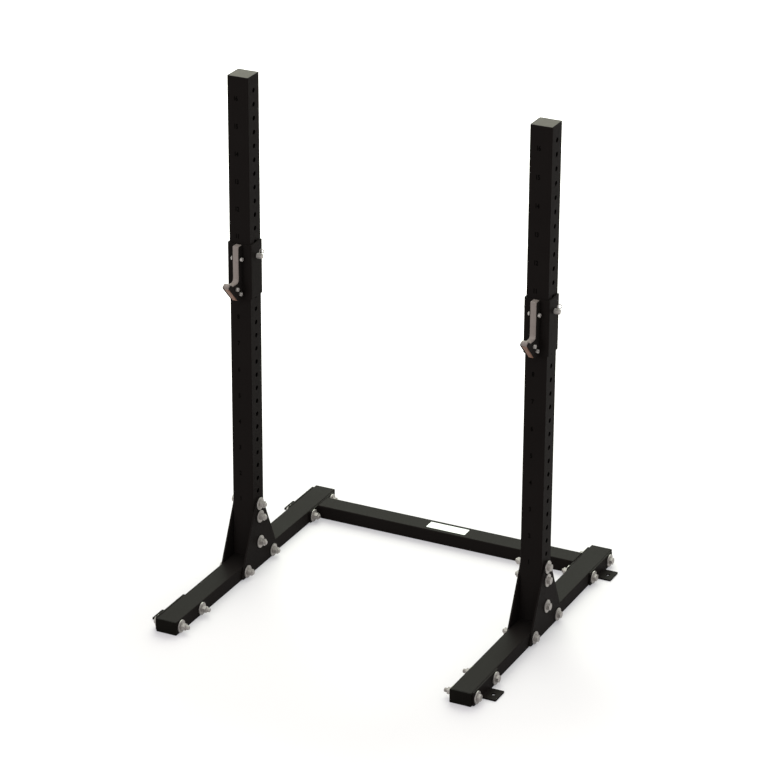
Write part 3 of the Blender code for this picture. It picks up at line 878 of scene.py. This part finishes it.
def eased_disc(start, end, radius, bore=0.0, edge=EDGE):
    """A disc or washer along X, with its rim eased on both faces."""
    turn = np.radians(np.linspace(0, 90, DISC_RIM_ROWS))
    out, sink = radius - edge * (1 - np.sin(turn)), edge * (1 - np.cos(turn))
    rim = [(start + d, r) for r, d in zip(out, sink)]
    rim += [(end - d, r) for r, d in zip(out[::-1], sink[::-1])]
    flat = radius - edge - SUPPORT
    profile = [(start, bore), (start, flat), *rim, (end, flat), (end, bore)]
    if bore:
        profile.append((start, bore))
    return turned(profile)


def threaded(start, end, radius, pitch):
    """A thread's end along X: its radius dips by a wave of one pitch that climbs with the angle."""
    along = np.linspace(start, end, THREAD_ROWS)[:, None]
    wave = np.abs(((along / pitch - TURN / (2 * math.pi)) % 1) - 0.5) * 2
    taper = np.clip((np.minimum(along - start, end - along)) / pitch, 0, 1)
    body = radius - THREAD_DEPTH * pitch * (1 - wave) * taper - THREAD_POINT * pitch * (1 - taper)
    closed = np.pad(body, ((1, 1), (0, 0)))
    return spun(np.concatenate([[[start]], along, [[end]]]), closed)


# %% Frame bolts
BOLT_RADIUS = 8
HEX = 24
HEAD = 11
NUT = 16
WASHER_RADIUS = 23
WASHER = 4
WASHER_BORE = BOLT_RADIUS + 0.5
FACE_SINK = 0.8
FACE_LAP = 0.2
THREAD_PITCH = 2
GAP = 0.3
TUBE_HALF = 40
FRAME_BOLTS = (
    "upright_top_bolt", "upright_middle_bolt", "upright_low_bolt",
    "gusset_front_bolt", "front_bracket_bolt_1", "front_bracket_bolt_2",
    "gusset_rear_bolt", "rear_bracket_bolt_1", "rear_bracket_bolt_2")


def bolt_set(node, sign):
    """One bolt with its two washers and its nut. The head is at the end that faces along sign."""
    low, high, middle = box_of(node)
    length = high[0] - low[0]
    seat = length - HEAD
    clad = GAP + PLATE
    grip = 2 * (TUBE_HALF + clad) - (clad if "front_bracket" in node else 0)
    nut_face = seat - 2 * (WASHER + GAP) - grip
    pieces = [
        hex_block(seat, length, HEX, (False, True)),
        eased_disc(seat - FACE_SINK, seat + FACE_LAP, HEX * FACE_SHARE),
        eased_disc(seat - WASHER, seat, WASHER_RADIUS, WASHER_BORE),
        turned([(nut_face, 0), (nut_face, BOLT_RADIUS), (seat, BOLT_RADIUS), (seat, 0)]),
        eased_disc(nut_face, nut_face + WASHER, WASHER_RADIUS, WASHER_BORE),
        hex_block(nut_face - NUT, nut_face, HEX),
        threaded(0, nut_face, BOLT_RADIUS, THREAD_PITCH)]
    start = (low if sign > 0 else high)[0]
    dress(node, laid(join(*pieces), middle * (Y + Z) + start * X, sign * X, sign * Y, Z))


for name, way in SIDES.items():
    for place in FRAME_BOLTS:
        bolt_set("%s_%s" % (name, place), way)

# %% [markdown]
# The bar hooks
#
# A hook is a sleeve bent from plate round three sides of the upright, with the hook itself in front: a
# nylon core that the bar rests on, between two steel cheeks. The core's outline is a chain of arcs
# that touch each other. The lip is an arc, the valley behind it is a hollow arc, the saddle runs flat
# to a bend, and the leg rises from there to a round crown.

# %% Sleeve
SLEEVE_WALL = 5
SLEEVE_BEND = 8
PIN_HOLE = 16
PIN_WINDOW = 20


def sleeve(side):
    """A strip with two pin holes, bent round the front and the sides of the upright."""
    low, high, middle = box_of(side + "_hook_sleeve")
    half = (high[0] - low[0]) / 2
    back, front = high[1], low[1]
    corner, rise = half - SLEEVE_BEND, front + SLEEVE_BEND
    left_bend = corner_path((-corner, rise), SLEEVE_BEND, 180)
    right_bend = corner_path((corner, rise), SLEEVE_BEND, 270)
    places = np.concatenate([
        [(-half, back), (-half, rise + SUPPORT), (-half, rise)], left_bend[0],
        [(-corner, front), (SUPPORT - corner, front), (corner - SUPPORT, front), (corner, front)],
        right_bend[0], [(half, rise), (half, rise + SUPPORT), (half, back)]])
    normals = np.concatenate([
        [(-1, 0)] * 3, left_bend[1], [(0, -1)] * 4, right_bend[1], [(1, 0)] * 3])
    along = distances(places)
    length = along[-1]
    # The pin crosses at y = 0, so each hole is as far from its end of the strip as the back edge is.
    middles = (back, length - back)
    pin_z = box_of(side + "_locking_pin")[2][2]
    s = stations([*eased_ends(0, length), *along[1:-1]], middles, PIN_WINDOW)
    w = stations(eased_ends(low[2], high[2]), [pin_z], PIN_WINDOW)
    holes = [(place, pin_z) for place in middles]
    shape = punched_sheet(s, w, holes, (PIN_WINDOW, PIN_WINDOW), PIN_HOLE / 2, SLEEVE_WALL)
    dress(side + "_hook_sleeve", laid(fold(shape, (along, places, normals)), X * middle[0], X, Y, Z))


# %% Profiles of the hook
CORE_LEG = 25
CORE_DROP = 0.8
CORE_CROWN = 2.5
CORE_BEND = 12
SADDLE = 69
LIP_CENTRE = np.array([87, 73.2])
LIP_RADIUS = 10
LIP_END = 145
NOSE_THICK = 3
NOSE_BOTTOM = 3
NOSE_TOP = 66
NOSE_UP = np.array([96, 100]) / math.hypot(96, 100)
NOSE_OUT = np.array([NOSE_UP[1], -NOSE_UP[0]])
HOOK_BOLTS = {"top": (14, 151), "front": (47, 51), "rear": (23, 25.5)}


def nose_point(up, out):
    """The point on the slanting nose at a height, moved outwards from it."""
    touch = LIP_CENTRE + NOSE_OUT * LIP_RADIUS
    return touch + NOSE_UP * (up - touch[1]) / NOSE_UP[1] + NOSE_OUT * out


def core_outline(height):
    """The nylon core's outline, (forward of the sleeve, above its bottom), drawn anticlockwise."""
    angle = math.radians(LIP_END)
    start = math.degrees(math.atan2(NOSE_OUT[1], NOSE_OUT[0]))
    hollow = (LIP_CENTRE[1] + LIP_RADIUS * math.sin(angle) - SADDLE) / (1 - math.sin(angle))
    valley_centre = LIP_CENTRE + (LIP_RADIUS + hollow) * np.array([math.cos(angle), math.sin(angle)])
    top = height - CORE_DROP
    return np.concatenate([
        arc(LIP_CENTRE, LIP_RADIUS, start, LIP_END, steps=24),
        arc(valley_centre, hollow, LIP_END - 180, -90, steps=10)[1:],
        arc((CORE_LEG + CORE_BEND, SADDLE + CORE_BEND), CORE_BEND, 270, 180, steps=10),
        arc((CORE_LEG - CORE_CROWN, top - CORE_CROWN), CORE_CROWN, 0, 90, steps=8),
        [(GAP, top), (GAP, NOSE_BOTTOM), nose_point(NOSE_BOTTOM, -NOSE_THICK - GAP)],
        [nose_point(NOSE_TOP, -NOSE_THICK - GAP), nose_point(NOSE_TOP, 0)]])


CHEEK_DROP = 3
CHEEK_INSET = 3
CHEEK_NOSE_INSET = 0.4
CHEEK_NOSE_TOP = 70
CHEEK_LIP = (81, 78)
CHEEK_VALLEY = 70.5
CHEEK_CORNER = 5


def cheek_outline(height):
    """A steel cheek's outline, a little inside the core wherever the bar rests."""
    top, low, front = height - CHEEK_DROP, SADDLE - CHEEK_INSET, CORE_LEG - CHEEK_INSET
    corners = [(GAP, NOSE_BOTTOM), nose_point(NOSE_BOTTOM, -CHEEK_NOSE_INSET),
               nose_point(CHEEK_NOSE_TOP, -CHEEK_NOSE_INSET), CHEEK_LIP, (CHEEK_VALLEY, low),
               (front, low), (front, top), (GAP, top)]
    radii = [0, 0, CHEEK_CORNER, CHEEK_CORNER, CHEEK_CORNER, CORE_BEND, CHEEK_CORNER, 0]
    return rounded(corners, radii, steps=8)


# %% Core, cheeks and nose strip
BOLT_PASSAGE = 8.8
CORE_EDGE = 1.2
CHEEK_EDGE = 0.7
STRIP_EDGE = 0.5


def hook_plates(side):
    """The layers of one hook, each a plate across X with its place taken from its node."""
    low, high, _ = box_of(side + "_hook_sleeve")
    height = high[2] - low[2]
    holes = [hole(centre, BOLT_PASSAGE, count=24) for centre in HOOK_BOLTS.values()]

    def layer(node, loops, edge):
        left, right = [corner[0] for corner in box_of(node)[:2]]
        shape = plate(loops, right - left, edge)
        dress(node, laid(shape, (right, low[1], low[2]), -Y, Z, -X))

    layer(side + "_hook_core", [core_outline(height), *holes], CORE_EDGE)
    for cheek in SIDES:
        layer("%s_hook_%s_cheek" % (side, cheek), [cheek_outline(height), *holes], CHEEK_EDGE)
    top = NOSE_TOP - 2 * GAP
    corners = ((NOSE_BOTTOM, -NOSE_THICK), (NOSE_BOTTOM, 0), (top, 0), (top, -NOSE_THICK))
    layer(side + "_hook_nose_strip", [np.array([nose_point(*corner) for corner in corners])], STRIP_EDGE)


# %% [markdown]
# Pins and small fasteners
#
# Each hook is held by a pin through the sleeve and the upright, with a wire ring to pull it by. Cap
# head bolts hold the core between its cheeks. The rows of a head's grid start at the floor of its
# hexagonal socket, climb the six walls, cross the top and follow the round shoulder down.

# %% Hook bolts
CAP_RADIUS = 7
CAP = 8
SHOULDER = 1.6
SHOULDER_ROWS = 6
SOCKET = 6
SOCKET_DEPTH = 4
SOCKET_EASE = 0.3
SHANK = 4
SHANK_LAP = 1
HOOK_NUT = 13
HOOK_NUT_HEIGHT = 6
HOOK_SPARE = 2
HOOK_PITCH = 1.25


def dress_turned(node, *shapes):
    """Dresses a node with shapes about the X axis, stood on the node's own axis."""
    middle = box_of(node)[2]
    dress(node, laid(join(*shapes), middle * (Y + Z), X, Y, Z))


def cap_head(start):
    """A round head along X on its seat, with a six-sided socket and a quarter circle for a shoulder."""
    flat = np.ones(AROUND)
    socket = hexagon(SOCKET)
    floor_place, top = start + CAP - SOCKET_DEPTH, start + CAP
    rows = [(floor_place, 0 * flat), (floor_place, socket), (top - SOCKET_EASE, socket),
            (top, socket + SOCKET_EASE)]
    for angle in np.radians(np.linspace(0, 90, SHOULDER_ROWS)):
        out = CAP_RADIUS - SHOULDER * (1 - math.sin(angle))
        rows.append((top - SHOULDER * (1 - math.cos(angle)), out * flat))
    rows += [(start, CAP_RADIUS * flat), (start, 0 * flat)]
    places, radii = zip(*rows)
    return spun(np.array(places)[:, None], np.array(radii))


def hook_bolt(side, place):
    """A cap head bolt through the hook, with its nut on the hook's left side."""
    node = "%s_hook_%s_bolt" % (side, place)
    low, high, _ = box_of(node)
    seat, nut = high[0] - CAP, low[0] + HOOK_SPARE
    inside = seat + SHANK_LAP
    dress_turned(
        node,
        cap_head(seat),
        turned([(nut, 0), (nut, SHANK), (inside, SHANK), (inside, 0)]),
        hex_block(nut, nut + HOOK_NUT_HEIGHT, HOOK_NUT),
        threaded(low[0], nut + HOOK_NUT_HEIGHT, SHANK, HOOK_PITCH))


# %% Locking pin, bush and ring
PIN_RADIUS = 7.5
PIN_CHAMFER = 2
PIN_HEAD_RADIUS = 9.3
PIN_HEAD = 21
PIN_HEAD_EASE = 0.8
PIN_HEAD_LAP = 0.2
PIN_HEAD_END = ((1.2, 0), (0.4, 0.5), (0, 1.6), (0, PIN_HEAD_RADIUS))
GRIP_GROOVES = 3
GROOVE_PITCH = 4
GROOVE = 0.6
GROOVE_SHAPE = ((0, 0), (1, 1), (2, 1), (3, 0))
RING_WIRE = 1.5
RING_HALF_WIDTH = 8
RING_FOOT = 3.5
RING_MOUTH = 20
RING_INSET = 8
RING_LEAN = 6
RING_RISE = 19
RING_STEM = 2.5
RING_ROOT = 1
RING_STEP = 0.7
BUSH_RADIUS = 11
BUSH_EDGE = 0.8


def locking_pin(side):
    """A turned pin with a chamfered tip and a head with three shallow grooves to grip it by."""
    node = side + "_locking_pin"
    low, high, _ = box_of(node)
    tip, end = low[0], high[0]
    seat = end - PIN_HEAD
    profile = [(tip, 0), (tip, PIN_RADIUS - PIN_CHAMFER), (tip + PIN_CHAMFER, PIN_RADIUS),
               (seat - PIN_HEAD_LAP, PIN_RADIUS), (seat, PIN_HEAD_RADIUS - PIN_HEAD_EASE),
               (seat + PIN_HEAD_EASE, PIN_HEAD_RADIUS)]
    for k in range(GRIP_GROOVES):
        groove = seat + GROOVE_PITCH * (k + 1)
        profile += [(groove + GROOVE * on, PIN_HEAD_RADIUS - GROOVE * sink) for on, sink in GROOVE_SHAPE]
    profile += [(end - before, PIN_HEAD_RADIUS - sink) for before, sink in PIN_HEAD_END]
    dress_turned(node, turned(profile))


def pull_ring(side):
    """The wire ring on the pin's head: a circle carried along a bow that leans out on two feet."""
    _, high, middle = box_of(side + "_locking_pin")
    bow = arc((RING_LEAN, RING_RISE), RING_HALF_WIDTH, 180 + RING_MOUTH, -RING_MOUTH, steps=36)
    rise = PIN_HEAD_RADIUS + np.array([-RING_ROOT, RING_STEM])
    left, right = [np.column_stack([np.full(2, foot), rise]) for foot in (-RING_FOOT, RING_FOOT)]
    out, up = even_line(np.concatenate([left, bow, right[::-1]]), RING_STEP).T
    path = np.column_stack(np.broadcast_arrays(high[0] - RING_INSET + out, middle[1], middle[2] + up))
    radius = np.full(len(path), RING_WIRE)
    radius[[0, -1]] = 0
    dress(side + "_pull_ring", carried(path, Y, radius))


def pin_bush(side):
    """The black bush that the pin's tip comes through."""
    node = side + "_pin_bush"
    low, high, _ = box_of(node)
    dress_turned(node, eased_disc(low[0], high[0], BUSH_RADIUS, PIN_HOLE / 2, BUSH_EDGE))


for name in SIDES:
    sleeve(name)
    hook_plates(name)
    for place in HOOK_BOLTS:
        hook_bolt(name, place)
    locking_pin(name)
    pull_ring(name)
    pin_bush(name)

# %% [markdown]
# Plate and numbers
#
# A bare white plate lies on the crossmember, and a height number stands between every other pair of
# holes on the front of each upright. Each number is a text curve that is turned into a mesh.

# %% White plate
LABEL_HALF = (77.5, 22.5)
LABEL_THICK = 1.0
LABEL_CORNER = 3
LABEL_EDGE = 0.3


def label_material():
    """White lacquer with a faint orange peel."""
    recipe = Recipe("white_lacquer")
    peel = recipe.noise(500)
    clouds = recipe.noise(40)
    return recipe.finish(
        Base_Color=recipe.blend(clouds, (0.78, 0.78, 0.77), (0.84, 0.84, 0.83)),
        Roughness=0.35 + 0.1 * peel,
        Normal=recipe.bump(peel, depth=0.00003),
    )


def label():
    """A thin plate with round corners on top of the crossmember."""
    _, high, middle = box_of("crossmember")
    centre = np.array([0, middle[1]])
    outline = rectangle(centre - LABEL_HALF, centre + LABEL_HALF, LABEL_CORNER)
    shape = plate([outline], LABEL_THICK, LABEL_EDGE)
    shape = laid(shape, Z * (high[2] + LABEL_THICK), X, Y, -Z)
    mark("crossmember_plate", shape, label_material(), "frame")


label()

# %% Height numbers
NUMBER_SIZE = 23
NUMBER_WEIGHT = 0.7
NUMBER_NARROW = 0.78
NUMBER_SHIFT = -8
NUMBER_PROUD = 0.12
NUMBER_SPACING = 0.9
LOWEST_NUMBER = 275
NUMBER_STEP = 100
NUMBER_COUNT = 16


def number_material():
    """Matt black ink, a shade darker than the paint."""
    recipe = Recipe("matt_black_ink")
    grain = recipe.noise(1300)
    return recipe.finish(
        Base_Color=recipe.blend(grain, (0.0022, 0.002, 0.0018), (0.0032, 0.0029, 0.0026)),
        Roughness=0.75 + 0.1 * grain,
        Specular_IOR_Level=0.0,
    )


def digits(text, size, thickness):
    """A text curve made a mesh and read back as a surface, narrowed, in millimetres about its centre."""
    curve = bpy.data.curves.new("digits", "FONT")
    curve.body = text
    curve.size = size
    curve.extrude = thickness / 2
    curve.align_x = "CENTER"
    curve.align_y = "CENTER"
    curve.resolution_u = 6
    curve.offset = NUMBER_WEIGHT
    curve.space_character = NUMBER_SPACING
    holder = put("digits", curve)
    mesh = bpy.data.meshes.new_from_object(holder.evaluated_get(bpy.context.evaluated_depsgraph_get()))
    points = np.empty(len(mesh.vertices) * 3)
    mesh.vertices.foreach_get("co", points)
    faces = [np.array([tuple(face.vertices)]) for face in mesh.polygons]
    bpy.data.objects.remove(holder)
    return points.reshape(-1, 3) * (NUMBER_NARROW, 1, 1), faces


ink = number_material()
for name in SIDES:
    low, _, middle = box_of(name + "_upright")
    rows = []
    for k in range(NUMBER_COUNT):
        place = (middle[0] + NUMBER_SHIFT, low[1], LOWEST_NUMBER + NUMBER_STEP * k)
        rows.append(laid(digits(str(k + 1), NUMBER_SIZE, 2 * NUMBER_PROUD), place, X, Z, -Y))
    mark(name + "_height_numbers", join(*rows), ink, "frame")

# %% [markdown]
# Floor and light
#
# The rack stands on a white floor that runs out of sight. The lamps light it like any surface, so it
# takes the rack's soft shadow. To the eye, reflections and glass it also glows, faintly beside the rack
# and fully from 2 m away, so it meets the white sky without a line. To all other rays it is a mid grey,
# which throws little light back up. A broad lamp above and behind gives the tops their sheen, and two
# weak ones, above and in front, open the rest.

# %% White floor
SHADOW_REACH = 0.9
WHITE_REACH = 2.0
FLOOR_REACH = 40000
FLOOR_DROP = 0.2


def floor_material():
    """Matt white with a glow for the rays that are seen, and plain mid grey for all others."""
    recipe = Recipe("white_floor")
    seen = recipe.seen()
    distance = recipe.node("ShaderNodeVectorMath", {"operation": "LENGTH"}, {0: recipe.place()}, "Value")
    far = recipe.step(distance, SHADOW_REACH, WHITE_REACH)
    return recipe.finish(
        Base_Color=recipe.blend(seen, (0.2, 0.19, 0.185), (0.63, 0.58, 0.61)),
        Roughness=1.0,
        Specular_IOR_Level=0.0,
        Emission_Color=recipe.blend(far, (0.29, 0.3, 0.31), (0.6, 0.6, 0.6)),
        Emission_Strength=seen,
    )


def floor():
    """A square sheet, far wider than any view of the rack."""
    reach = np.linspace(-FLOOR_REACH, FLOOR_REACH, 3)
    across, along = np.meshgrid(reach, reach)
    surface = grid(np.stack([across, along, np.full(across.shape, -FLOOR_DROP)], -1), closed=False)
    put("floor", mesh_of("floor", surface, floor_material()))
    print("floor: %d m wide" % (2 * FLOOR_REACH * MM))


floor()


# %% World and lamps
def world(strength, shade):
    """An even pale sky that is pure white to the eye, to reflections and through glass."""
    recipe = Recipe("studio", "worlds", "World Output")
    sky = recipe.tree.nodes["Background"]
    recipe.fill(sky, {"Color": (*shade, 1), "Strength": strength})
    white = recipe.node("ShaderNodeBackground", {}, {"Color": (1, 1, 1, 1)})
    sockets = {0: recipe.seen(), 1: Number(recipe, sky.outputs[0]), 2: white}
    bpy.context.scene.world = recipe.finish(Surface=recipe.node("ShaderNodeMixShader", {}, sockets))


def lamp(name, place, target, size, power, shade=(1, 1, 1)):
    """A square soft lamp at a place, facing a target."""
    made = put(name, bpy.data.lights.new(name, "AREA"))
    made.data.shape = "SQUARE"
    made.data.size = size
    made.data.energy = power
    made.data.color = shade
    made.location = place
    made.rotation_euler = (Vector(target) - Vector(place)).to_track_quat("-Z", "Y").to_euler()
    print("%s: %d W from %.1f m square" % (name, power, size))


world(strength=0.55, shade=(1.0, 0.99, 0.98))
lamp("back_softbox", (-1.5, 5.5, 4.5), (0, 0, 0.3), size=7.0, power=735, shade=(0.88, 1.0, 0.83))
lamp("top_softbox", (-0.4, 0.2, 5.5), (0, 0, 0), size=3.5, power=45, shade=(0.9, 1.0, 0.86))
lamp("front_fill", (-1.5, -6.0, 2.5), (0, 0, 1.0), size=3.0, power=60)
